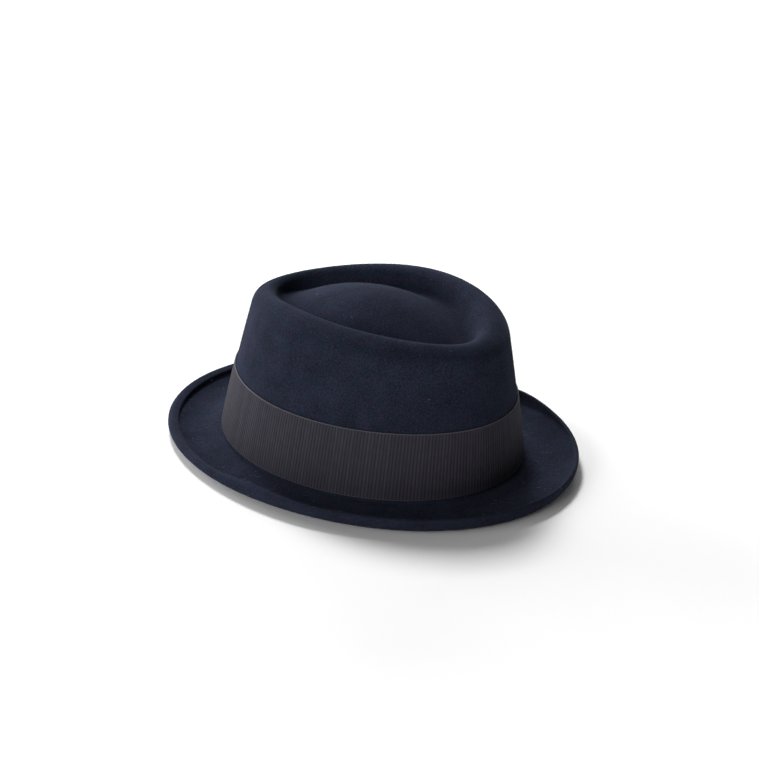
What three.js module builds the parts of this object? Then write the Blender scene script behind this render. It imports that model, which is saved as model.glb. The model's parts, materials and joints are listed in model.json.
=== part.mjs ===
import * as THREE from "three";

// A porkpie hat of fulled wool felt, with a grosgrain ribbon round its crown. Millimetres.
// The front faces -Y, the wearer's right is -X and +Z is up. The hat rests on z = 0, and the
// origin lies under the middle of its outline. A turn is an angle round the head, from the front
// over the wearer's right. The break is the crease where the crown meets the brim.

const FELT = 2.2; // thickness, crown and brim alike
const HEAD_LENGTH = 206.2; // outside of the crown at the break
const HEAD_WIDTH = 172.8;
const BREAK_RADIUS = 1.8; // rounding of the crease at the break
const BREAK_LIFT = 2; // break above the level ring that the hat rests on

const CROWN_HEIGHT = 96.4; // crest of the rim above the break, at the sides
const TIP_LENGTH = 184.4; // outside of the crown at its shoulder, just under the rim
const TIP_WIDTH = 142.6;
const TIP_FORWARD = 3.8; // how far the shoulder sits towards the front
const TIP_TAPER = 0.13; // share of its width that the shoulder oval loses at its ends
const WALL_BULGE = 0.16; // fullness of the wall between break and shoulder, as a share of its lean

const RIM_RADIUS = 15.4; // outer rounding of the crown's rim, at the sides
const RIM_INNER_RADIUS = 6.2; // rounding from the crest down into the moat, at the sides
const MOAT_DEPTH = 13.5; // floor of the moat below the crest, at the sides
const MOAT_RADIUS = 4; // rounding between the moat's wall and its floor
const MOAT_LEAN = 18; // lean of the moat's wall from upright, in degrees
const MOAT_STRAIGHT = 0.1; // least straight stretch of the moat's wall
const DOME_RISE = 15; // top of the inner dome above the moat's floor at the sides
const DOME_FULLNESS = 1.21; // exponent of the dome's curve

const RING_START = 13; // level ring of the brim, measured out from the head oval
const RING_WIDTH = 4;
const BRIM_WIDTH = 33.2; // from the head oval to the start of the curl, at the back
const BRIM_RISE = 3.5; // climb of the brim from the level ring to the curl, at the sides
const CURL_RADIUS = 3.1; // open curl of the brim's edge at the sides, and a wider one in front
const CURL_TURN = 101; // how far the open curl turns up, in degrees
const LIP_LENGTH = 1; // straight felt after the curl
const ROLL_RADIUS = 1.6; // tight roll that the curl closes into round the back
const ROLL_TURN = 172; // how far the roll turns over, in degrees
const ROLL_LIP = 0.6; // straight felt after the roll
const ROLL_TURN_START = 70; // the curl starts to close here, in degrees from the front
const ROLL_TURN_FULL = 112; // and is the full roll from here to the back

const RIBBON_HEIGHT = 40.8;
const RIBBON_THICKNESS = 1;
const RIBBON_FOOT = 0.2; // lower edge above the rounding at the break
const RIBBON_LAP = 18; // overlap of the ribbon's ends, on the wearer's left
const RIBBON_RAMP = 12; // length over which the upper end climbs on to the lower one
const CLEARANCE = 0.3; // between ribbon and felt, and between the ribbon's ends

// Shares of the sizes above at the front, at the sides and at the back of the hat.
const SHARES = {
  crown: { front: 0.934, side: 1, back: 0.873 },
  rim: { front: 0.745, side: 1, back: 0.395 },
  rimInside: { front: 1.39, side: 1, back: 0.91 },
  moat: { front: 1.04, side: 1, back: 0.63 },
  brim: { front: 0.867, side: 0.833, back: 1 },
  climb: { front: 0, side: 1, back: 0.84 },
  curl: { front: 1.94, side: 1, back: 1 },
  curlTurn: { front: 0.91, side: 1, back: 1 },
  lip: { front: 0.5, side: 1, back: 1 },
};

// How finely each stretch of the felt is cut.
const TURN_STEPS = 64;
const DOME_STEPS = 8;
const MOAT_STEPS = 2;
const RIM_INNER_STEPS = 2;
const RIM_STEPS = 4;
const WALL_STEPS = 5;
const BREAK_STEPS = 2;
const DIP_STEPS = 2;
const RISE_STEPS = 3;
const CURL_STEPS = 6;
const EDGE_STEPS = 3;
const RIBBON_ROWS = 3;
const RAMP_STEPS = 4;

const STEP = (2 * Math.PI) / TURN_STEPS;
const LAP_TURN = 1.5 * Math.PI; // the wearer's left
const BREAK_Z = FELT + BREAK_LIFT;
const UP = Math.PI / 2;

const radians = THREE.MathUtils.degToRad;
const mix = THREE.MathUtils.lerp;

// The shares 1/count, 2/count, ... 1.
const shares = (count) => Array.from({ length: count }, (_, i) => (i + 1) / count);

// A size at a turn, from its shares at the front, sides and back.
function around(size, share, turn) {
  const c = Math.cos(turn);
  const end = c > 0 ? share.front : share.back;
  return size * mix(share.side, end, c * c);
}

function ovalPoint(oval, turn) {
  const c = Math.cos(turn);
  const x = -oval.width * 0.5 * Math.sin(turn) * (1 - oval.taper * c * c);
  return new THREE.Vector2(x, -oval.length * 0.5 * c - oval.forward);
}

// The plan of an oval at a turn: its point there and the direction straight out from it.
function plan(oval, turn) {
  const nudge = 1e-4;
  const along = ovalPoint(oval, turn + nudge).sub(ovalPoint(oval, turn - nudge));
  const out = new THREE.Vector2(-along.y, along.x).normalize();
  return { point: ovalPoint(oval, turn), out };
}

const HEAD = { length: HEAD_LENGTH, width: HEAD_WIDTH, forward: 0, taper: 0 };
const TIP = { length: TIP_LENGTH, width: TIP_WIDTH, forward: TIP_FORWARD, taper: TIP_TAPER };

// A place on the felt's outer skin: a distance out from a plan, a height, and the tilt of the
// surface's normal, where 0 points straight out and 90 degrees straight up.
function place(base, distance, z, tilt) {
  const at = base.out.clone().multiplyScalar(distance).add(base.point);
  const flat = base.out.clone().multiplyScalar(Math.cos(tilt));
  return {
    point: new THREE.Vector3(at.x, at.y, z),
    normal: new THREE.Vector3(flat.x, flat.y, Math.sin(tilt)),
  };
}

// The rim and the moat at a turn.
function rimAt(turn) {
  const head = plan(HEAD, turn);
  const tip = plan(TIP, turn);
  const crest = BREAK_Z + around(CROWN_HEIGHT, SHARES.crown, turn);
  const radius = around(RIM_RADIUS, SHARES.rim, turn);
  const inner = around(RIM_INNER_RADIUS, SHARES.rimInside, turn);
  const depth = around(MOAT_DEPTH, SHARES.moat, turn);
  const lean = radians(MOAT_LEAN);
  const run = head.point.clone().sub(tip.point).dot(tip.out);
  const wallLean = Math.atan2(run * (1 + WALL_BULGE), crest - radius - BREAK_Z);
  const crestIn = radius * Math.cos(wallLean);
  const rounded = (inner + MOAT_RADIUS) * (1 - Math.sin(lean));
  const straight = Math.max(depth - rounded, MOAT_STRAIGHT);
  const moatIn = crestIn + (inner + MOAT_RADIUS) * Math.cos(lean) + straight * Math.tan(lean);
  const shoulder = crest - radius * (1 - Math.sin(wallLean));
  return { tip, crest, radius, inner, wallLean, crestIn, moatIn, shoulder, floor: crest - depth };
}

const DOME_TOP = rimAt(UP).floor + DOME_RISE;

function domePlaces(turn) {
  const rim = rimAt(turn);
  const edge = rim.tip.out.clone().multiplyScalar(-rim.moatIn).add(rim.tip.point);
  const reach = edge.length();
  const base = { point: new THREE.Vector2(0, 0), out: edge.clone().normalize() };
  const rise = DOME_TOP - rim.floor;
  return shares(DOME_STEPS).map((share) => {
    const rest = 1 - share * share;
    const slope = (2 * share * DOME_FULLNESS * rise * rest ** (DOME_FULLNESS - 1)) / reach;
    const z = rim.floor + rise * rest ** DOME_FULLNESS;
    return place(base, reach * share, z, Math.atan2(1, slope));
  });
}

// From the moat's floor up its wall, over the crest and down to the shoulder.
function rimPlaces(turn) {
  const rim = rimAt(turn);
  const lean = radians(MOAT_LEAN);
  const moat = shares(MOAT_STEPS).map((share) => {
    const swing = share * (UP - lean);
    const z = rim.floor + MOAT_RADIUS * (1 - Math.cos(swing));
    return place(rim.tip, -rim.moatIn + MOAT_RADIUS * Math.sin(swing), z, UP + swing);
  });
  const arc = (radius, tilt) =>
    place(rim.tip, radius * Math.cos(tilt) - rim.crestIn, rim.crest - radius * (1 - Math.sin(tilt)), tilt);
  const innerTilts = [0, ...shares(RIM_INNER_STEPS)].map((share) => mix(2 * UP - lean, UP, share));
  const outerTilts = shares(RIM_STEPS).map((share) => mix(UP, rim.wallLean, share));
  return [
    ...moat,
    ...innerTilts.map((tilt) => arc(rim.inner, tilt)),
    ...outerTilts.map((tilt) => arc(rim.radius, tilt)),
  ];
}

// The crown's wall at a height: it leans in from the head oval to the shoulder, a little full.
function wallAt(turn, z) {
  const head = plan(HEAD, turn);
  const rim = rimAt(turn);
  const height = rim.shoulder - BREAK_Z;
  const share = (z - BREAK_Z) / height;
  const blend = share - WALL_BULGE * share * (1 - share);
  const run = head.point.clone().sub(rim.tip.point).dot(head.out);
  const steep = run * (1 - WALL_BULGE * (1 - 2 * share));
  const base = {
    point: head.point.clone().lerp(rim.tip.point, blend),
    out: head.out.clone().lerp(rim.tip.out, blend).normalize(),
  };
  return { base, tilt: Math.atan2(steep, height) };
}

function wallPlaces(turn) {
  const foot = BREAK_Z + BREAK_RADIUS;
  const top = rimAt(turn).shoulder;
  return shares(WALL_STEPS).map((share) => {
    const z = mix(top, foot, share);
    const wall = wallAt(turn, z);
    return place(wall.base, 0, z, wall.tilt);
  });
}

// The curl of the brim's edge at a turn: open in front, and closed into the tight roll behind.
function curlOf(turn) {
  const fromFront = radians(180) - Math.abs(radians(180) - turn);
  const closed = THREE.MathUtils.smoothstep(fromFront, radians(ROLL_TURN_START), radians(ROLL_TURN_FULL));
  const open = around(CURL_RADIUS, SHARES.curl, turn);
  return {
    open,
    roll: mix(open, ROLL_RADIUS, closed),
    end: radians(mix(around(CURL_TURN, SHARES.curlTurn, turn), ROLL_TURN, closed)),
    lip: mix(around(LIP_LENGTH, SHARES.lip, turn), ROLL_LIP, closed),
  };
}

// The rounded break, the dip to the level ring, the climb to the curl, the curl and the lip.
function brimPlaces(turn) {
  const head = plan(HEAD, turn);
  const start = wallAt(turn, BREAK_Z).tilt;
  const round = shares(BREAK_STEPS).map((share) => {
    const tilt = mix(start, UP, share);
    const distance = BREAK_RADIUS * (Math.cos(start) - Math.cos(tilt));
    return place(head, distance, BREAK_Z + BREAK_RADIUS * (1 - Math.sin(tilt)), tilt);
  });
  const dipStart = BREAK_RADIUS * Math.cos(start);
  const dip = shares(DIP_STEPS).map((share) => {
    const z = FELT + (BREAK_LIFT * (1 + Math.cos(Math.PI * share))) / 2;
    const fall = (BREAK_LIFT * Math.PI * Math.sin(Math.PI * share)) / 2 / (RING_START - dipStart);
    return place(head, mix(dipStart, RING_START, share), z, Math.atan2(1, fall));
  });
  const ringEnd = RING_START + RING_WIDTH;
  const { open, roll, end, lip } = curlOf(turn);
  const rise = around(BRIM_RISE, SHARES.climb, turn);
  const level = around(BRIM_WIDTH, SHARES.brim, turn);
  const steep = Math.atan((2 * rise) / (level - ringEnd));
  const width = level + (open - roll) * (1 - Math.sin(steep));
  const climb = shares(RISE_STEPS).map((share) => {
    const slope = (2 * rise * share) / (width - ringEnd);
    return place(head, mix(ringEnd, width, share), FELT + rise * share * share, UP + Math.atan(slope));
  });
  const from = Math.atan((2 * rise) / (width - ringEnd));
  const curlAt = (angle, straight) => {
    const distance = width + roll * (Math.sin(angle) - Math.sin(from)) + straight * Math.cos(angle);
    const z = FELT + rise + roll * (Math.cos(from) - Math.cos(angle)) + straight * Math.sin(angle);
    return place(head, distance, z, UP + angle);
  };
  const curl = shares(CURL_STEPS).map((share) => curlAt(mix(from, end, share), 0));
  return [...round, ...dip, place(head, ringEnd, FELT, UP), ...climb, ...curl, curlAt(end, lip)];
}

// The felt at a turn: its outer skin, the rounded cut edge, and its inner skin back to the middle.
function feltSection(turn) {
  const skin = [...domePlaces(turn), ...rimPlaces(turn), ...wallPlaces(turn), ...brimPlaces(turn)];
  const outer = skin.map((at) => at.point);
  const inner = skin.map((at) => at.point.clone().addScaledVector(at.normal, -FELT));
  const last = skin[skin.length - 1];
  const away = last.point.clone().sub(skin[skin.length - 2].point).normalize();
  const middle = last.point.clone().addScaledVector(last.normal, -FELT / 2);
  const edge = shares(EDGE_STEPS)
    .slice(0, -1)
    .map((share) => {
      const swing = Math.PI * share;
      return middle
        .clone()
        .addScaledVector(last.normal, (FELT / 2) * Math.cos(swing))
        .addScaledVector(away, (FELT / 2) * Math.sin(swing));
    });
  return [...outer, ...edge, ...inner.reverse()];
}

// A closed body through a row of closed rings, with a fan from a pole over each end.
function loft(rings, firstPole, lastPole) {
  const size = rings[0].length;
  const points = [...rings.flat(), firstPole, lastPole];
  const at = (ring, i) => ring * size + (i % size);
  const index = [];
  for (let i = 0; i < size; i += 1) {
    index.push(points.length - 2, at(0, i + 1), at(0, i));
    index.push(points.length - 1, at(rings.length - 1, i), at(rings.length - 1, i + 1));
    for (let ring = 0; ring < rings.length - 1; ring += 1) {
      index.push(at(ring, i), at(ring, i + 1), at(ring + 1, i + 1));
      index.push(at(ring, i), at(ring + 1, i + 1), at(ring + 1, i));
    }
  }
  const geometry = new THREE.BufferGeometry().setFromPoints(points).setIndex(index);
  geometry.computeVertexNormals();
  return geometry;
}

function feltGeometry() {
  const sections = Array.from({ length: TURN_STEPS }, (_, i) => feltSection(i * STEP));
  const rings = sections[0].map((_, row) => sections.map((section) => section[row]));
  const top = new THREE.Vector3(0, 0, DOME_TOP);
  return loft(rings, top, top.clone().setZ(DOME_TOP - FELT));
}

// The ribbon across its width at a turn: up its outer face and down its inner one.
function ribbonSection(turn, lift) {
  const low = BREAK_Z + BREAK_RADIUS + RIBBON_FOOT;
  const heights = [0, ...shares(RIBBON_ROWS)].map((share) => low + RIBBON_HEIGHT * share);
  const inner = heights.map((z) => place(wallAt(turn, z).base, CLEARANCE + lift, z, 0).point);
  const outer = heights.map(
    (z) => place(wallAt(turn, z).base, CLEARANCE + lift + RIBBON_THICKNESS, z, 0).point,
  );
  return [...outer, ...inner.reverse()];
}

// The ribbon goes once round from the lap, climbs on to its own start and laps over it.
function ribbonGeometry() {
  const lap = RIBBON_LAP / (HEAD_LENGTH / 2);
  const ramp = RIBBON_RAMP / (HEAD_LENGTH / 2);
  const full = 2 * Math.PI;
  const climbed = full - STEP / 2;
  const even = Array.from({ length: TURN_STEPS + Math.ceil(lap / STEP) }, (_, i) => i * STEP);
  const climb = [0, ...shares(RAMP_STEPS)].map((share) => climbed - ramp * (1 - share));
  const outside = even.filter((at) => at < climb[0] - STEP / 4 || at > climbed);
  const travels = [...outside.filter((at) => at < full + lap - STEP / 4), ...climb, full + lap];
  const rings = travels
    .sort((a, b) => a - b)
    .map((travel) => {
      const climbShare = THREE.MathUtils.smoothstep(travel, climb[0], climbed);
      return ribbonSection(LAP_TURN + travel, (RIBBON_THICKNESS + CLEARANCE) * climbShare);
    });
  const middle = (ring) =>
    ring.reduce((sum, point) => sum.add(point), new THREE.Vector3()).divideScalar(ring.length);
  return loft(rings, middle(rings[0]), middle(rings[rings.length - 1]));
}

const feltMaterial = new THREE.MeshStandardMaterial({
  name: "wool felt",
  color: "#1c2233",
  roughness: 0.95,
  metalness: 0,
});
const ribbonMaterial = new THREE.MeshStandardMaterial({
  name: "grosgrain",
  color: "#2f2e34",
  roughness: 0.7,
  metalness: 0,
});

const felt = new THREE.Mesh(feltGeometry(), feltMaterial);
felt.name = "felt_body";
const ribbon = new THREE.Mesh(ribbonGeometry(), ribbonMaterial);
ribbon.name = "ribbon_band";

// The origin goes under the middle of the brim's outline, on the surface that the hat rests on.
const outline = new THREE.Box3().setFromObject(felt);
const hat = new THREE.Group();
hat.add(felt, ribbon);
hat.position.set(
  -(outline.min.x + outline.max.x) / 2,
  -(outline.min.y + outline.max.y) / 2,
  -outline.min.z,
);
const part = new THREE.Group();
part.add(hat);

export default part;
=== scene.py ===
import json

import bpy
import numpy as np
from mathutils import Matrix, Vector

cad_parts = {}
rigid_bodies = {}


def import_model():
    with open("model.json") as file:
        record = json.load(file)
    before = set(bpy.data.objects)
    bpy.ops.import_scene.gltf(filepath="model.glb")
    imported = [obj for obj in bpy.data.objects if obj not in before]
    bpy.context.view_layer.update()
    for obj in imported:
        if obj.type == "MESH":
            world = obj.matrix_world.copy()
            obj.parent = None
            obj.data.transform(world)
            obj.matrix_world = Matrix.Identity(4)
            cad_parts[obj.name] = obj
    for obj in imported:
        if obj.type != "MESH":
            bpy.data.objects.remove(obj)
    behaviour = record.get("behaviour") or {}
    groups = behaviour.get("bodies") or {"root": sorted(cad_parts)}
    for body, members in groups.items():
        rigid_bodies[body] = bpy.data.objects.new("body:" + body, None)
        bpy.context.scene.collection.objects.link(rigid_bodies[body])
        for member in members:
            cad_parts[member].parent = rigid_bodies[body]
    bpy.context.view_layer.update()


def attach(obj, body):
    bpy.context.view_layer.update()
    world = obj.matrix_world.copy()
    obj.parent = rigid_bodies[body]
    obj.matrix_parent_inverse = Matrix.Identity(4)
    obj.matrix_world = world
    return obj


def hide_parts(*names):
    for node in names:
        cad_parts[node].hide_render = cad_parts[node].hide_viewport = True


# A navy wool felt porkpie hat with a charcoal grosgrain ribbon, resting on a pale studio floor.
# The front of the hat faces -Y and the wearer's right is -X. A turn is an angle round the head,
# from the front over the wearer's right. The break is the crease between crown and brim.

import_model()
mm = 0.001
up = np.pi / 2  # the tilt of a surface that looks straight up

# sockets that share a name with others of their node are taken by number: the colours and result
# of a colour Mix, and the two ends and result of a Random Value that gives plain numbers
colorA, colorB, mixedColor = 6, 7, 2
leastValue, mostValue, randomValue = 2, 3, 1


def linearColor(sRgbHex):
    # sRGB hex, such as "#1c2233", to the linear colour that shaders read
    channels = [int(sRgbHex[i:i + 2], 16) / 255 for i in (1, 3, 5)]
    return [c / 12.92 if c <= 0.04045 else ((c + 0.055) / 1.055) ** 2.4 for c in channels] + [1.0]


def addNode(tree, kind, inputs=None, **settings):
    # inputs holds plain values, or sockets of other nodes to link from
    node = tree.nodes.new(kind)
    for name, value in settings.items():
        setattr(node, name, value)
    for name, value in (inputs or {}).items():
        if isinstance(value, bpy.types.NodeSocket):
            tree.links.new(value, node.inputs[name])
        else:
            node.inputs[name].default_value = value
    return node


def maths(tree, operation, first, second=0.0):
    return addNode(tree, "ShaderNodeMath", {0: first, 1: second}, operation=operation).outputs[0]


def mapRange(tree, value, source, result):
    # the value moved from one span to another, and held inside it
    return addNode(tree, "ShaderNodeMapRange", {
        "Value": value, "From Min": source[0], "From Max": source[1],
        "To Min": result[0], "To Max": result[1]}).outputs[0]


def mixColor(tree, factor, first, second):
    return addNode(tree, "ShaderNodeMix", {
        "Factor": factor, colorA: first, colorB: second}, data_type="RGBA").outputs[mixedColor]


def newMaterial(name):
    material = bpy.data.materials.new(name)
    material.use_nodes = True
    material.node_tree.nodes.clear()
    return material, material.node_tree


def finishMaterial(tree, shader):
    output = addNode(tree, "ShaderNodeOutputMaterial")
    tree.links.new(shader.outputs[0], output.inputs["Surface"])


def newObject(name, data):
    made = bpy.data.objects.new(name, data)
    bpy.context.scene.collection.objects.link(made)
    return made


def meshObject(name, points, faces, material):
    mesh = bpy.data.meshes.new(name)
    mesh.from_pydata(points, [], faces)
    mesh.shade_smooth()
    mesh.materials.append(material)
    return newObject(name, mesh)


def loft(rings, firstPole, lastPole):
    # closed rings in a row, with a fan from a pole over each end
    count, size = rings.shape[:2]
    points = [*rings.reshape(-1, 3), firstPole, lastPole]
    first, last = len(points) - 2, len(points) - 1
    starts = [ring * size for ring in range(count)]
    faces = []
    for i in range(size):
        k = (i + 1) % size
        faces.append((first, k, i))
        faces.append((last, starts[-1] + i, starts[-1] + k))
        faces += [(a + i, a + k, b + k, b + i) for a, b in zip(starts, starts[1:])]
    return points, faces


def geometryTree(name, sockets):
    # a node group with geometry in and out, and the named inputs that are given
    tree = bpy.data.node_groups.new(name, "GeometryNodeTree")
    tree.interface.new_socket("Geometry", in_out="INPUT", socket_type="NodeSocketGeometry")
    tree.interface.new_socket("Geometry", in_out="OUTPUT", socket_type="NodeSocketGeometry")
    for socket, kind in sockets.items():
        tree.interface.new_socket(socket, in_out="INPUT", socket_type=kind)
    return tree, addNode(tree, "NodeGroupInput")


def closeTree(tree, geometry, material):
    real = addNode(tree, "GeometryNodeRealizeInstances", {"Geometry": geometry})
    painted = addNode(tree, "GeometryNodeSetMaterial", {"Geometry": real.outputs[0], "Material": material})
    addNode(tree, "NodeGroupOutput", {"Geometry": painted.outputs[0]})


def runTree(piece, tree, values, material):
    # runs the tree on the piece and keeps its result as the piece's plain mesh
    modifier = piece.modifiers.new(tree.name, "NODES")
    modifier.node_group = tree
    for item in tree.interface.items_tree:
        if item.in_out == "INPUT" and item.name in values:
            modifier[item.identifier] = values[item.name]
    evaluated = piece.evaluated_get(bpy.context.evaluated_depsgraph_get())
    mesh = bpy.data.meshes.new_from_object(evaluated)
    piece.modifiers.remove(modifier)
    mesh.name = piece.name
    mesh.materials.clear()
    mesh.materials.append(material)
    piece.data = mesh


# wool felt: fibres fulled into a mat, so it is matt, mottled at the size of a fibre tuft, and
# glows at grazing angles where the short nap catches the light

feltLook = {
    "deep": "#15181f",
    "coolFibre": "#2a3443",
    "warmFibre": "#323144",
    "speck": "#7f8699",
    "tuft": 0.9 * mm,
    "cloud": 14 * mm,
    "cloudShare": 0.3,
    "mottle": (0.42, 0.88),  # the noise values of bare ground and of full fibre colour
    "heather": 5 * mm,
    "heatherBlend": (0.35, 0.65),  # the noise values of cool and of warm fibre
    "speckSize": 1.5 * mm,
    "speckRare": (0.77, 0.81),  # the noise values where a speck starts and is full
    "speckShare": 0.4,
    "napRelief": 0.12 * mm,
}


def feltMaterial():
    material, tree = newMaterial("wool felt")
    at = addNode(tree, "ShaderNodeTexCoord").outputs["Object"]
    tuft = addNode(tree, "ShaderNodeTexNoise", {
        "Vector": at, "Scale": 1 / feltLook["tuft"], "Detail": 4.0, "Roughness": 0.65})
    cloud = addNode(tree, "ShaderNodeTexNoise", {
        "Vector": at, "Scale": 1 / feltLook["cloud"], "Detail": 3.0})
    mottle = addNode(tree, "ShaderNodeMath", {
        0: cloud.outputs["Fac"], 1: feltLook["cloudShare"], 2: tuft.outputs["Fac"]},
        operation="MULTIPLY_ADD")
    spread = mapRange(tree, mottle.outputs[0], feltLook["mottle"], (0.0, 1.0))
    heather = addNode(tree, "ShaderNodeTexNoise", {
        "Vector": at, "Scale": 1 / feltLook["heather"], "Detail": 3.0})
    blend = mapRange(tree, heather.outputs["Fac"], feltLook["heatherBlend"], (0.0, 1.0))
    fibre = mixColor(tree, blend, linearColor(feltLook["coolFibre"]), linearColor(feltLook["warmFibre"]))
    body = mixColor(tree, spread, linearColor(feltLook["deep"]), fibre)
    speck = addNode(tree, "ShaderNodeTexNoise", {
        "Vector": at, "Scale": 1 / feltLook["speckSize"], "Detail": 1.0, "Distortion": 1.5})
    isSpeck = mapRange(tree, speck.outputs["Fac"], feltLook["speckRare"], (0.0, feltLook["speckShare"]))
    color = mixColor(tree, isSpeck, body, linearColor(feltLook["speck"]))
    bump = addNode(tree, "ShaderNodeBump", {
        "Height": tuft.outputs["Fac"], "Strength": 0.7, "Distance": feltLook["napRelief"]})
    shader = addNode(tree, "ShaderNodeBsdfPrincipled", {
        "Base Color": color, "Roughness": 1.0, "IOR": 1.5, "Specular IOR Level": 0.0,
        "Sheen Weight": 0.06, "Sheen Roughness": 0.45, "Sheen Tint": linearColor("#c9cde8"),
        "Normal": bump.outputs[0]})
    finishMaterial(tree, shader)
    return material


# grosgrain: dull cotton warp threads bound tightly round thick weft cords, so it is matt. Its colour
# has a painted highlight along the crests of its ribs and painted shade between them

ribbonLook = {
    # painted highlight and shade: the colour is lighter on the crests of the ribs and darker between them
    "crest": "#3f3d46",
    "valleyShade": "#29272e",
    # painted highlight: a lighter colour along both edges, where the rounded selvedges catch the light
    "selvedgeHighlight": "#74727b",
    "selvedgeWidth": 0.7 * mm,
    "selvedgeShare": 0.7,
    "blotch": 6 * mm,
    "blotchSpread": (0.3, 0.7),  # the noise values of the dullest and the plainest patches
    "blotchShade": (0.75, 1.0),
    "ribShade": (0.82, 1.18),  # no two ribs take the dye quite alike
    "thread": 0.45 * mm,  # the real threads are about 0.2 mm, too fine to show
    "threadRelief": 0.03 * mm,
}


def ribbonMaterial(pitch, height):
    # the UV map holds the place on the ribbon in metres: u along it, v up from its lower edge
    material, tree = newMaterial("grosgrain")
    uv = addNode(tree, "ShaderNodeUVMap", uv_map="ribbon").outputs[0]
    spot = addNode(tree, "ShaderNodeSeparateXYZ", {0: uv})
    rib = maths(tree, "DIVIDE", spot.outputs["X"], pitch)
    phase = maths(tree, "FRACT", rib)
    # the rib's crest, which takes the painted highlight; the valleys between ribs take the painted shade
    crest = maths(tree, "SINE", maths(tree, "MULTIPLY", phase, np.pi))
    blotch = addNode(tree, "ShaderNodeTexNoise", {
        "Vector": uv, "Scale": 1 / ribbonLook["blotch"], "Detail": 3.0})
    shade = mapRange(tree, blotch.outputs["Fac"], ribbonLook["blotchSpread"], ribbonLook["blotchShade"])
    chance = addNode(tree, "ShaderNodeTexWhiteNoise", {
        "W": maths(tree, "FLOOR", rib)}, noise_dimensions="1D")
    bright = mapRange(tree, chance.outputs["Value"], (0.0, 1.0), ribbonLook["ribShade"])
    level = maths(tree, "MULTIPLY", maths(tree, "MULTIPLY", crest, shade), bright)
    # painted highlight on the crests and painted shade in the valleys, mixed with random blotches and rib
    # dye
    body = mixColor(tree, level, linearColor(ribbonLook["valleyShade"]), linearColor(ribbonLook["crest"]))
    # a painted highlight: the colour is lighter in a thin band along both edges of the ribbon
    reach = maths(tree, "ABSOLUTE", maths(tree, "SUBTRACT", spot.outputs["Y"], height / 2))
    border = (height / 2 - ribbonLook["selvedgeWidth"], height / 2)
    edge = mapRange(tree, reach, border, (0.0, ribbonLook["selvedgeShare"]))
    color = mixColor(tree, edge, body, linearColor(ribbonLook["selvedgeHighlight"]))
    turns = maths(tree, "MULTIPLY", spot.outputs["Y"], 2 * np.pi / ribbonLook["thread"])
    thread = maths(tree, "SINE", turns)
    bump = addNode(tree, "ShaderNodeBump", {
        "Height": thread, "Strength": 0.5, "Distance": ribbonLook["threadRelief"]})
    shader = addNode(tree, "ShaderNodeBsdfPrincipled", {
        "Base Color": color, "Roughness": 0.85, "IOR": 1.5, "Specular IOR Level": 0.08,
        "Normal": bump.outputs[0]})
    finishMaterial(tree, shader)
    return material


# the hat's form: lengths in millimetres and angles in degrees

form = {
    "felt": 2.2, "headLength": 206.2, "headWidth": 172.8, "breakRadius": 1.8, "breakLift": 2.0,
    "crownHeight": 96.4, "tipLength": 184.4, "tipWidth": 142.6, "tipForward": 3.8, "tipTaper": 0.13,
    "wallBulge": 0.16, "rim": 15.4, "rimInner": 6.2, "moatDepth": 13.5, "moatRadius": 4.0,
    "moatLean": 18.0, "moatStraight": 0.1, "domeRise": 15.0, "domeFullness": 1.21, "ringStart": 13.0,
    "ringWidth": 4.0, "brimWidth": 33.2, "brimRise": 3.5, "curlRadius": 3.1, "curlTurn": 101.0,
    "lip": 1.0, "rollRadius": 0.35, "rollTurn": 178.0, "rollLip": 2.7, "rollFrom": 62.0,
    "rollFull": 104.0,
}
# what share of its size above each form has at the front, the sides and the back
formShares = {
    "crownHeight": {"front": 0.934, "side": 1, "back": 0.873},
    "rim": {"front": 0.745, "side": 1, "back": 0.395},
    "rimInner": {"front": 1.39, "side": 1, "back": 0.91},
    "moatDepth": {"front": 1.04, "side": 1, "back": 0.63},
    "brimWidth": {"front": 0.867, "side": 0.833, "back": 1},
    "brimRise": {"front": 0, "side": 1, "back": 0.84},
    "curlRadius": {"front": 1.94, "side": 1, "back": 1},
    "curlTurn": {"front": 0.91, "side": 1, "back": 1},
    "lip": {"front": 0.5, "side": 1, "back": 1},
}
breakZ = form["felt"] + form["breakLift"]


def around(name, turn):
    # a size of the form at the turns
    share, c = formShares[name], np.cos(turn)
    end = np.where(c > 0, share["front"], share["back"])
    return form[name] * (share["side"] + (end - share["side"]) * c * c)


def mix(a, b, share):
    return a + (b - a) * share


def smooth(share):
    # 0 to 1 with no jerk at either end
    return share * share * (3 - 2 * share)


def dot(a, b):
    return np.sum(a * b, axis=-1)


def unit(v):
    return v / np.linalg.norm(v, axis=-1, keepdims=True)


def oval(turn, length, width, forward=0.0, taper=0.0):
    # points of the oval at the turns, and the directions straight out from them
    def at(t):
        c = np.cos(t)
        return np.stack([-width / 2 * np.sin(t) * (1 - taper * c * c), -length / 2 * c - forward], -1)
    nudge = 1e-4
    along = at(turn + nudge) - at(turn - nudge)
    return at(turn), unit(np.stack([-along[..., 1], along[..., 0]], -1))


def place(point, out, distance, z, tilt):
    # a ring of the skin: its points, and the surface's normals tilted up from straight out
    flat = point + out * np.asarray(distance)[..., None]
    z, tilt = z + 0 * flat[..., 0], tilt + 0 * flat[..., 0]
    normal = np.concatenate([out * np.cos(tilt)[..., None], np.sin(tilt)[..., None]], -1)
    return np.concatenate([flat, z[..., None]], -1), normal


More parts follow.
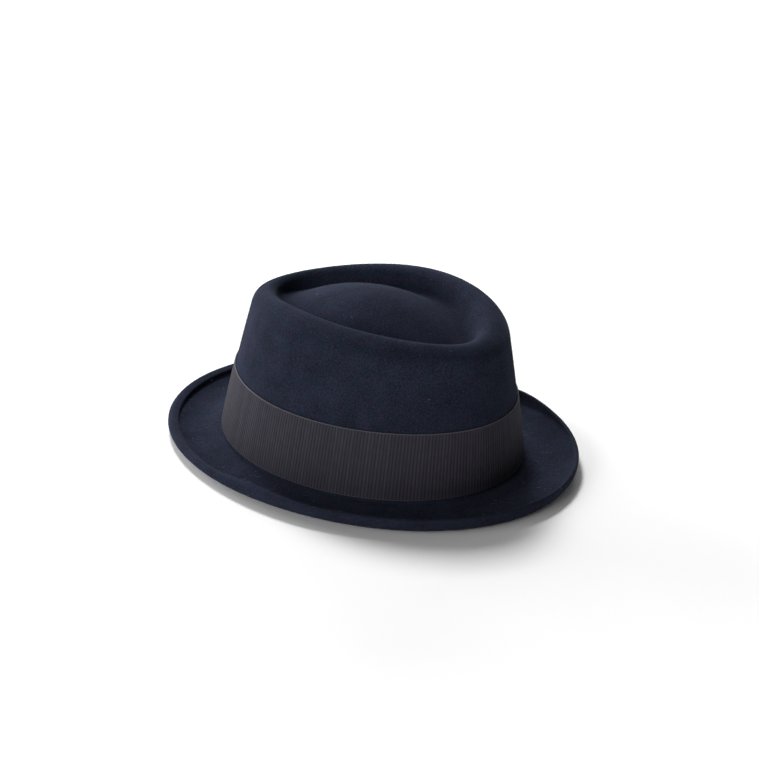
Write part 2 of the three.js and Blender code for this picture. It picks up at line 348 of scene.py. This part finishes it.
def rimSizes(turn):
    head, _ = oval(turn, form["headLength"], form["headWidth"])
    tip, out = oval(turn, form["tipLength"], form["tipWidth"], form["tipForward"], form["tipTaper"])
    crest = breakZ + around("crownHeight", turn)
    radius, inner, depth = around("rim", turn), around("rimInner", turn), around("moatDepth", turn)
    lean = np.radians(form["moatLean"])
    wallLean = np.arctan2(dot(head - tip, out) * (1 + form["wallBulge"]), crest - radius - breakZ)
    crestIn = radius * np.cos(wallLean)
    rounded = inner + form["moatRadius"]
    straight = np.maximum(depth - rounded * (1 - np.sin(lean)), form["moatStraight"])
    moatIn = crestIn + rounded * np.cos(lean) + straight * np.tan(lean)
    return {"tip": tip, "out": out, "crest": crest, "radius": radius, "inner": inner, "lean": lean,
            "wallLean": wallLean, "crestIn": crestIn, "moatIn": moatIn, "floor": crest - depth,
            "shoulder": crest - radius * (1 - np.sin(wallLean))}


domeTop = float(rimSizes(np.array(up))["floor"]) + form["domeRise"]


def domeRings(turn, steps):
    rim = rimSizes(turn)
    edge = rim["tip"] - rim["out"] * rim["moatIn"][..., None]
    reach, out = np.linalg.norm(edge, axis=-1), unit(edge)
    rise, full = domeTop - rim["floor"], form["domeFullness"]
    for share in steps:
        rest = 1 - share * share
        slope = 2 * share * full * rise * rest ** (full - 1) / reach
        yield place(0 * edge, out, reach * share, rim["floor"] + rise * rest ** full, np.arctan2(1, slope))


def rimRings(turn, moatSteps, innerSteps, outerSteps):
    rim = rimSizes(turn)
    tip, out = rim["tip"], rim["out"]
    for share in moatSteps:
        swing = share * (up - rim["lean"])
        z = rim["floor"] + form["moatRadius"] * (1 - np.cos(swing))
        yield place(tip, out, form["moatRadius"] * np.sin(swing) - rim["moatIn"], z, up + swing)

    def arc(radius, tilt):
        z = rim["crest"] - radius * (1 - np.sin(tilt))
        return place(tip, out, radius * np.cos(tilt) - rim["crestIn"], z, tilt)
    for share in innerSteps:
        yield arc(rim["inner"], mix(2 * up - rim["lean"], up, share))
    for share in outerSteps:
        yield arc(rim["radius"], mix(up, rim["wallLean"], share))


def wallAt(turn, z):
    # the crown's wall at a height: its points, directions out and lean
    head, headOut = oval(turn, form["headLength"], form["headWidth"])
    rim = rimSizes(turn)
    height = rim["shoulder"] - breakZ
    share = (z - breakZ) / height
    blend = share - form["wallBulge"] * share * (1 - share)
    steep = dot(head - rim["tip"], headOut) * (1 - form["wallBulge"] * (1 - 2 * share))
    point = mix(head, rim["tip"], blend[..., None])
    out = unit(mix(headOut, rim["out"], blend[..., None]))
    return point, out, np.arctan2(steep, height)


def wallRings(turn, steps):
    foot, top = breakZ + form["breakRadius"], rimSizes(turn)["shoulder"]
    for share in steps:
        z = mix(top, foot, share)
        point, out, lean = wallAt(turn, z)
        yield place(point, out, 0 * z, z, lean)


def closedShare(turn):
    # how far the brim's edge is folded: 0 is the open curl in front, and 1 is the flat welt behind
    fromFront = np.degrees(np.arccos(np.cos(turn)))
    share = np.clip((fromFront - form["rollFrom"]) / (form["rollFull"] - form["rollFrom"]), 0, 1)
    return smooth(share)


def brimRings(turn, breakSteps, dipSteps, climbSteps, curlSteps, lipSteps):
    head, out = oval(turn, form["headLength"], form["headWidth"])
    felt, radius = form["felt"], form["breakRadius"]
    start = wallAt(turn, breakZ + 0 * turn)[2]
    for share in breakSteps:
        tilt = mix(start, up, share)
        z = breakZ + radius * (1 - np.sin(tilt))
        yield place(head, out, radius * (np.cos(start) - np.cos(tilt)), z, tilt)
    dipStart = radius * np.cos(start)
    for share in dipSteps:
        z = felt + form["breakLift"] * (1 + np.cos(np.pi * share)) / 2
        fall = form["breakLift"] * np.pi * np.sin(np.pi * share) / 2 / (form["ringStart"] - dipStart)
        yield place(head, out, mix(dipStart, form["ringStart"], share), z, np.arctan2(1, fall))
    ringEnd = form["ringStart"] + form["ringWidth"]
    yield place(head, out, ringEnd, felt, up)
    level, rise = around("brimWidth", turn), around("brimRise", turn)
    closed, openRoll = closedShare(turn), around("curlRadius", turn)
    roll = mix(openRoll, form["rollRadius"], closed)
    lip = mix(around("lip", turn), form["rollLip"], closed)
    width = level + (openRoll - roll) * (1 - np.sin(np.arctan(2 * rise / (level - ringEnd))))
    for share in climbSteps:
        slope = 2 * rise * share / (width - ringEnd)
        z = felt + rise * share * share
        yield place(head, out, mix(ringEnd, width, share), z, up + np.arctan(slope))
    begin = np.arctan(2 * rise / (width - ringEnd))
    end = mix(np.radians(around("curlTurn", turn)), begin + np.radians(form["rollTurn"]), closed)

    def curlAt(angle, straight):
        distance = width + roll * (np.sin(angle) - np.sin(begin)) + straight * np.cos(angle)
        z = felt + rise + roll * (np.cos(begin) - np.cos(angle)) + straight * np.sin(angle)
        return place(head, out, distance, z, up + angle)
    for share in curlSteps:
        yield curlAt(mix(begin, end, share), 0)
    for share in lipSteps:
        yield curlAt(end, lip * share)


# the felt body: crown and brim in one skin, with the rounded cut edge and the inner skin

feltBody = {
    "columns": 320, "dome": 34, "moat": 8, "rimInner": 12, "rim": 20, "wall": 26, "break": 8,
    "dip": 10, "climb": 12, "curl": 18, "lip": 3, "edge": 10, "insideEvery": 3,
}


def stepsOf(name):
    return (np.arange(feltBody[name]) + 1) / feltBody[name]


def feltPiece(material):
    turn = np.arange(feltBody["columns"]) * 2 * np.pi / feltBody["columns"]
    rings = [
        *domeRings(turn, stepsOf("dome")),
        *rimRings(turn, stepsOf("moat"), [0, *stepsOf("rimInner")], stepsOf("rim")),
        *wallRings(turn, stepsOf("wall")),
        *brimRings(turn, *map(stepsOf, ("break", "dip", "climb", "curl", "lip"))),
    ]
    outer = np.array([ring[0] for ring in rings])
    normals = np.array([ring[1] for ring in rings])
    inner = outer - normals * form["felt"]
    away = unit(outer[-1] - outer[-2])
    middle = (outer[-1] + inner[-1]) / 2
    swings = np.pi * stepsOf("edge")[:-1]
    edge = [middle + form["felt"] / 2 * (normals[-1] * np.cos(s) + away * np.sin(s)) for s in swings]
    inside = inner[::-1][::feltBody["insideEvery"]]
    top = np.array([0, 0, domeTop])
    points, faces = loft(np.array([*outer, *edge, *inside]), top, top - [0, 0, form["felt"]])
    points = np.array(points)
    # the origin goes under the middle of the outline
    shift = -(points.min(0) + points.max(0)) / 2
    shift[2] = -points[:, 2].min()
    piece = meshObject("felt", (points + shift) * mm, faces, material)
    shown = piece.data.attributes.new("shown", "FLOAT", "POINT")
    outside = (outer.shape[0] + len(edge)) * feltBody["columns"]
    shown.data.foreach_set("value", np.arange(len(points)) < outside)
    return piece, shift


# the nap: short fibres that stand out of the felt, as thin closed spikes

nap = {
    "fibres": 42000, "length": 1.1 * mm, "width": 0.07 * mm, "smallest": 0.35, "largest": 1.0,
    "lean": (1.15, 1.15, 3.14),  # the most radians over to each side, and round the fibre itself
    "seed": 11,
}
scatterInputs = {
    "Density": "NodeSocketFloat", "Lean": "NodeSocketVector", "Smallest": "NodeSocketFloat",
    "Largest": "NodeSocketFloat", "Seed": "NodeSocketInt", "Material": "NodeSocketMaterial",
}


def scatter(tree, given, chosen):
    # spots on the chosen faces, with a random lean and size at each
    isChosen = addNode(tree, "FunctionNodeCompare", {0: chosen, 1: 0.5}, operation="GREATER_THAN")
    spots = addNode(tree, "GeometryNodeDistributePointsOnFaces", {
        "Mesh": given.outputs["Geometry"], "Selection": isChosen.outputs[0],
        "Density": given.outputs["Density"], "Seed": given.outputs["Seed"]})
    least = addNode(tree, "ShaderNodeVectorMath", {
        0: given.outputs["Lean"], "Scale": -1.0}, operation="SCALE")
    lean = addNode(tree, "FunctionNodeRandomValue", {
        0: least.outputs[0], 1: given.outputs["Lean"], "Seed": given.outputs["Seed"]},
        data_type="FLOAT_VECTOR")
    turned = addNode(tree, "FunctionNodeEulerToRotation", {0: lean.outputs[0]})
    rotation = addNode(tree, "FunctionNodeRotateRotation", {
        "Rotation": spots.outputs["Rotation"], "Rotate By": turned.outputs[0]}, rotation_space="LOCAL")
    size = addNode(tree, "FunctionNodeRandomValue", {
        leastValue: given.outputs["Smallest"], mostValue: given.outputs["Largest"],
        "Seed": given.outputs["Seed"]})
    return spots, rotation.outputs[0], size.outputs[randomValue]


def napTree():
    tree, given = geometryTree("nap fibres", scatterInputs | {
        "Length": "NodeSocketFloat", "Width": "NodeSocketFloat"})
    outside = addNode(tree, "GeometryNodeInputNamedAttribute", {"Name": "shown"}, data_type="FLOAT")
    spots, rotation, size = scatter(tree, given, outside.outputs[0])
    spike = addNode(tree, "GeometryNodeMeshCone", {
        "Vertices": 3, "Radius Top": 0.0, "Radius Bottom": given.outputs["Width"],
        "Depth": given.outputs["Length"]})
    fibres = addNode(tree, "GeometryNodeInstanceOnPoints", {
        "Points": spots.outputs["Points"], "Instance": spike.outputs["Mesh"],
        "Rotation": rotation, "Scale": size})
    closeTree(tree, fibres.outputs[0], given.outputs["Material"])
    return tree


def napPiece(felt, material):
    piece = newObject("felt_nap", felt.data.copy())
    # about half of the skin's area looks outwards
    area = sum(face.area for face in felt.data.polygons) / 2
    runTree(piece, napTree(), {
        "Density": nap["fibres"] / area, "Lean": nap["lean"], "Smallest": nap["smallest"],
        "Largest": nap["largest"], "Length": nap["length"], "Width": nap["width"] / 2,
        "Seed": nap["seed"], "Material": material}, material)
    return piece


# stray pale hairs that lie in short arcs on the felt, nearly all of them on the brim

lint = {
    "hairs": 420, "bend": 2.4 * mm, "sweep": 1.6, "width": 0.08 * mm, "smallest": 0.4, "largest": 1.3,
    "lift": 0.12 * mm, "steps": 7, "top": 30 * mm, "pale": "#8c92a6", "dull": "#434959",
    "patch": 4 * mm,
    "lean": (0.0, 0.0, 3.14),  # they lie flat, and point any way
    "seed": 7,
}


def lintMaterial():
    # undyed wool hairs: matt, and paler than the felt
    material, tree = newMaterial("stray wool hairs")
    at = addNode(tree, "ShaderNodeTexCoord").outputs["Object"]
    patch = addNode(tree, "ShaderNodeTexNoise", {"Vector": at, "Scale": 1 / lint["patch"], "Detail": 1.0})
    color = mixColor(tree, patch.outputs["Fac"], linearColor(lint["dull"]), linearColor(lint["pale"]))
    shader = addNode(tree, "ShaderNodeBsdfPrincipled", {
        "Base Color": color, "Roughness": 0.9, "IOR": 1.5, "Specular IOR Level": 0.1})
    finishMaterial(tree, shader)
    return material


def lintTree():
    tree, given = geometryTree("stray hairs", scatterInputs | {
        "Bend": "NodeSocketFloat", "Sweep": "NodeSocketFloat", "Width": "NodeSocketFloat",
        "Lift": "NodeSocketFloat", "Top": "NodeSocketFloat", "Steps": "NodeSocketInt"})
    outside = addNode(tree, "GeometryNodeInputNamedAttribute", {"Name": "shown"}, data_type="FLOAT")
    at = addNode(tree, "GeometryNodeInputPosition")
    spot = addNode(tree, "ShaderNodeSeparateXYZ", {0: at.outputs[0]})
    isLow = maths(tree, "LESS_THAN", spot.outputs["Z"], given.outputs["Top"])
    spots, rotation, size = scatter(tree, given, maths(tree, "MULTIPLY", outside.outputs[0], isLow))
    rise = addNode(tree, "ShaderNodeVectorMath", {
        0: spots.outputs["Normal"], "Scale": given.outputs["Lift"]}, operation="SCALE")
    lifted = addNode(tree, "GeometryNodeSetPosition", {
        "Geometry": spots.outputs["Points"], "Offset": rise.outputs[0]})
    arc = addNode(tree, "GeometryNodeCurveArc", {
        "Resolution": given.outputs["Steps"], "Radius": given.outputs["Bend"],
        "Sweep Angle": given.outputs["Sweep"]})
    section = addNode(tree, "GeometryNodeCurvePrimitiveCircle", {
        "Resolution": 3, "Radius": given.outputs["Width"]})
    hair = addNode(tree, "GeometryNodeCurveToMesh", {
        "Curve": arc.outputs[0], "Profile Curve": section.outputs[0], "Fill Caps": True})
    hairs = addNode(tree, "GeometryNodeInstanceOnPoints", {
        "Points": lifted.outputs[0], "Instance": hair.outputs[0],
        "Rotation": rotation, "Scale": size})
    closeTree(tree, hairs.outputs[0], given.outputs["Material"])
    return tree


def lintPiece(felt):
    piece = newObject("lint", felt.data.copy())
    faces = felt.data.polygons
    area = sum(face.area for face in faces if face.center.z < lint["top"]) / 2
    material = lintMaterial()
    runTree(piece, lintTree(), {
        "Density": lint["hairs"] / area, "Lean": lint["lean"], "Smallest": lint["smallest"],
        "Largest": lint["largest"], "Bend": lint["bend"], "Sweep": lint["sweep"],
        "Width": lint["width"] / 2, "Lift": lint["lift"], "Top": lint["top"], "Steps": lint["steps"],
        "Seed": lint["seed"], "Material": material}, material)
    return piece


# the grosgrain ribbon: a smooth strip first, then Geometry Nodes raise its ribs

ribbon = {
    "height": 40.8, "thickness": 1.0, "foot": 0.2, "clearance": 0.3,
    "lap": 18.0, "ramp": 12.0, "rampBefore": 5.0,  # the ramp ends 5 mm before the lap starts
    "pitch": 2.05, "relief": 0.1, "columnsPerRib": 6, "uneven": 0.3, "seed": 3,
    "pathTurns": 1.1, "pathSteps": 4000,
}
# the strip's section: height up it, depth from its back, and how much of the rib it carries
ribbonSection = [
    {"up": 0.0, "depth": 0.3, "rib": 0.0}, {"up": 0.004, "depth": 0.62, "rib": 0.3},
    {"up": 0.014, "depth": 0.7, "rib": 0.8}, {"up": 0.03, "depth": 0.7, "rib": 1.0},
    {"up": 0.25, "depth": 0.7, "rib": 1.0}, {"up": 0.5, "depth": 0.7, "rib": 1.0},
    {"up": 0.75, "depth": 0.7, "rib": 1.0}, {"up": 0.97, "depth": 0.7, "rib": 1.0},
    {"up": 0.986, "depth": 0.7, "rib": 0.8}, {"up": 0.996, "depth": 0.62, "rib": 0.3},
    {"up": 1.0, "depth": 0.3, "rib": 0.0}, {"up": 0.99, "depth": 0.0, "rib": 0.0},
    {"up": 0.5, "depth": 0.0, "rib": 0.0}, {"up": 0.01, "depth": 0.0, "rib": 0.0},
]
lapTurn = 1.5 * np.pi  # on the wearer's left


def ribTree():
    tree, given = geometryTree("grosgrain ribs", {
        "Pitch": "NodeSocketFloat", "Relief": "NodeSocketFloat", "Uneven": "NodeSocketFloat",
        "Seed": "NodeSocketInt", "Material": "NodeSocketMaterial"})
    along = addNode(tree, "GeometryNodeInputNamedAttribute", {"Name": "along"}, data_type="FLOAT")
    carried = addNode(tree, "GeometryNodeInputNamedAttribute", {"Name": "rib"}, data_type="FLOAT")
    outward = addNode(tree, "GeometryNodeInputNamedAttribute", {
        "Name": "outward"}, data_type="FLOAT_VECTOR")
    ribs = maths(tree, "DIVIDE", along.outputs[0], given.outputs["Pitch"])
    height = maths(tree, "ABSOLUTE", maths(tree, "SINE", maths(tree, "MULTIPLY", ribs, np.pi)))
    chance = addNode(tree, "FunctionNodeRandomValue", {
        leastValue: -1.0, mostValue: 1.0, "ID": maths(tree, "FLOOR", ribs),
        "Seed": given.outputs["Seed"]})
    vary = maths(tree, "MULTIPLY", chance.outputs[randomValue], given.outputs["Uneven"])
    grown = maths(tree, "MULTIPLY", height, maths(tree, "ADD", vary, 1.0))
    masked = maths(tree, "MULTIPLY", grown, carried.outputs[0])
    push = addNode(tree, "ShaderNodeVectorMath", {
        0: outward.outputs[0], "Scale": maths(tree, "MULTIPLY", masked, given.outputs["Relief"])},
        operation="SCALE")
    raised = addNode(tree, "GeometryNodeSetPosition", {
        "Geometry": given.outputs["Geometry"], "Offset": push.outputs[0]})
    closeTree(tree, raised.outputs[0], given.outputs["Material"])
    return tree


def ribbonPath():
    # turns round the head at even steps along the ribbon, with the length and lift at each
    fine = np.linspace(0, 2 * np.pi * ribbon["pathTurns"], ribbon["pathSteps"])
    middle = breakZ + form["breakRadius"] + ribbon["foot"] + ribbon["height"] / 2
    point, _, _ = wallAt(lapTurn + fine, middle + 0 * fine)
    length = np.concatenate([[0], np.cumsum(np.linalg.norm(np.diff(point, axis=0), axis=1))])
    full = np.interp(2 * np.pi, fine, length)
    ribs = int(round((full + ribbon["lap"]) / ribbon["pitch"]))
    along = np.linspace(0, full + ribbon["lap"], ribs * ribbon["columnsPerRib"] + 1)
    rampStart = full - ribbon["rampBefore"] - ribbon["ramp"]
    share = np.clip((along - rampStart) / ribbon["ramp"], 0, 1)
    lift = (ribbon["thickness"] + ribbon["clearance"]) * smooth(share)
    return lapTurn + np.interp(along, length, fine), along, lift, (full + ribbon["lap"]) / ribs


def ribbonPiece(shift):
    turn, along, lift, pitch = ribbonPath()
    low = breakZ + form["breakRadius"] + ribbon["foot"]
    material = ribbonMaterial(pitch * mm, ribbon["height"] * mm)
    columns, outs = [], []
    for row in ribbonSection:
        z = low + ribbon["height"] * row["up"] + 0 * turn
        point, out, _ = wallAt(turn, z)
        distance = ribbon["clearance"] + lift + ribbon["thickness"] * row["depth"]
        at, _ = place(point, out, distance, z, 0 * turn)
        columns.append(at)
        outs.append(np.concatenate([out, 0 * out[:, :1]], -1))
    rings = np.array(columns).transpose(1, 0, 2)
    points, faces = loft(rings, rings[0].mean(0), rings[-1].mean(0))
    piece = meshObject("ribbon", (np.array(points) + shift) * mm, faces, material)
    size = len(ribbonSection)
    rise = np.array([row["up"] for row in ribbonSection]) * ribbon["height"]
    values = {
        "along": np.append(np.repeat(along, size), [along[0], along[-1]]) * mm,
        "rib": np.append(np.tile([row["rib"] for row in ribbonSection], len(turn)), [0, 0]),
        "up": np.append(np.tile(rise, len(turn)), [ribbon["height"] / 2] * 2) * mm,
    }
    for name in ("along", "rib"):
        piece.data.attributes.new(name, "FLOAT", "POINT").data.foreach_set("value", values[name])
    outward = np.array(outs).transpose(1, 0, 2).reshape(-1, 3)
    outward = np.append(outward, np.zeros((2, 3)), 0)
    carried = piece.data.attributes.new("outward", "FLOAT_VECTOR", "POINT")
    carried.data.foreach_set("vector", outward.ravel())
    corners = np.zeros(len(piece.data.loops), int)
    piece.data.loops.foreach_get("vertex_index", corners)
    uv = np.stack([values["along"][corners], values["up"][corners]], -1)
    piece.data.uv_layers.new(name="ribbon").data.foreach_set("uv", uv.ravel())
    runTree(piece, ribTree(), {
        "Pitch": pitch * mm, "Relief": ribbon["relief"] * mm, "Uneven": ribbon["uneven"],
        "Seed": ribbon["seed"], "Material": material}, material)
    for name in ("along", "rib", "outward"):
        piece.data.attributes.remove(piece.data.attributes[name])
    return piece, along[-1] * mm


# the set: a pale floor, soft boxes and the camera

view = {"azimuth": -44.93, "elevation": 23.13, "roll": 1.9, "distance": 1.3, "aimHeight": 0.045,
        "panRight": 4.52 * mm, "panUp": -2.41 * mm, "lens": 98.52, "sensor": 36}
boxes = [
    {"name": "key", "azimuth": 152, "elevation": 50, "width": 0.9, "height": 0.9, "power": 124},
    {"name": "backdrop right", "azimuth": 135, "elevation": 14.5, "width": 2.4, "height": 2.0,
     "power": 115},
    {"name": "backdrop", "azimuth": 165, "elevation": 14, "width": 2.0, "height": 2.0, "power": 41},
    {"name": "backdrop left", "azimuth": 190, "elevation": 14, "width": 2.0, "height": 2.0, "power": 107},
    {"name": "camera left", "azimuth": -80, "elevation": 18, "width": 1.6, "height": 1.6, "power": 54},
    {"name": "left", "azimuth": -105, "elevation": 20, "width": 2.0, "height": 2.0, "power": 32},
    {"name": "right", "azimuth": 90, "elevation": 15, "width": 1.6, "height": 1.6, "power": 10},
]
studio = {"floor": "#ffffff", "floorReach": 14.0, "boxDistance": 4.0,
          "air": "#ffffff", "airStrength": 0.07, "airSeen": 0.9}


def direction(azimuth, elevation):
    # from the hat towards a point round it: azimuth 0 is in front, and 90 is on its left
    a, e = np.radians(azimuth), np.radians(elevation)
    return Vector((np.sin(a) * np.cos(e), -np.cos(a) * np.cos(e), np.sin(e)))


def setCamera(shift):
    back = direction(view["azimuth"], view["elevation"])
    right = (-back).cross(Vector((0, 0, 1))).normalized()
    top = back.cross(right)
    roll = np.radians(view["roll"])
    across = right * np.cos(roll) + top * np.sin(roll)
    upward = top * np.cos(roll) - right * np.sin(roll)
    aim = Vector((shift[0] * mm, shift[1] * mm, view["aimHeight"]))
    spot = aim + back * view["distance"] + across * view["panRight"] + upward * view["panUp"]
    camera = newObject("camera", bpy.data.cameras.new("camera"))
    camera.data.lens = view["lens"]
    camera.data.sensor_width = view["sensor"]
    turned = Matrix((across, upward, back)).transposed()
    camera.matrix_world = Matrix.Translation(spot) @ turned.to_4x4()
    bpy.context.scene.camera = camera


def setStudio():
    for box in boxes:
        light = bpy.data.lights.new(box["name"], "AREA")
        light.shape = "RECTANGLE"
        light.size = box["width"]
        light.size_y = box["height"]
        light.energy = box["power"]
        lamp = newObject(box["name"], light)
        towards = direction(box["azimuth"], box["elevation"])
        lamp.location = towards * studio["boxDistance"]
        lamp.rotation_euler = towards.to_track_quat("Z", "Y").to_euler()
    material, tree = newMaterial("white paper sweep")
    finishMaterial(tree, addNode(tree, "ShaderNodeBsdfDiffuse", {"Color": linearColor(studio["floor"])}))
    half = studio["floorReach"] / 2
    corners = [(-half, -half, 0), (half, -half, 0), (half, half, 0), (-half, half, 0)]
    floor = meshObject("floor", corners, [(0, 1, 2, 3)], material)
    world = bpy.data.worlds.new("studio air")
    world.use_nodes = True
    # the backdrop looks pale behind the hat, and gives it only a little light
    air = world.node_tree
    air.nodes["Background"].inputs["Color"].default_value = linearColor(studio["air"])
    seen = addNode(air, "ShaderNodeLightPath")
    strength = mapRange(air, seen.outputs["Is Camera Ray"], (0.0, 1.0),
                        (studio["airStrength"], studio["airSeen"]))
    air.links.new(strength, air.nodes["Background"].inputs["Strength"])
    bpy.context.scene.world = world
    bpy.context.scene.view_settings.view_transform = "Standard"


woolFelt = feltMaterial()
felt, shift = feltPiece(woolFelt)
print("felt body:", len(felt.data.polygons), "faces")
setCamera(shift)
setStudio()
print("camera and studio set")
fibres = napPiece(felt, woolFelt)
print("nap:", len(fibres.data.polygons), "faces")
hairs = lintPiece(felt)
print("lint:", len(hairs.data.polygons), "faces")
felt.data.attributes.remove(felt.data.attributes["shown"])
band, bandLength = ribbonPiece(shift)
print("ribbon:", len(band.data.polygons), "faces,", round(bandLength, 3), "m long")

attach(felt, "root")
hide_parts("felt_body")
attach(fibres, "root")
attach(hairs, "root")
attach(band, "root")
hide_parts("ribbon_band")

print("pieces placed")
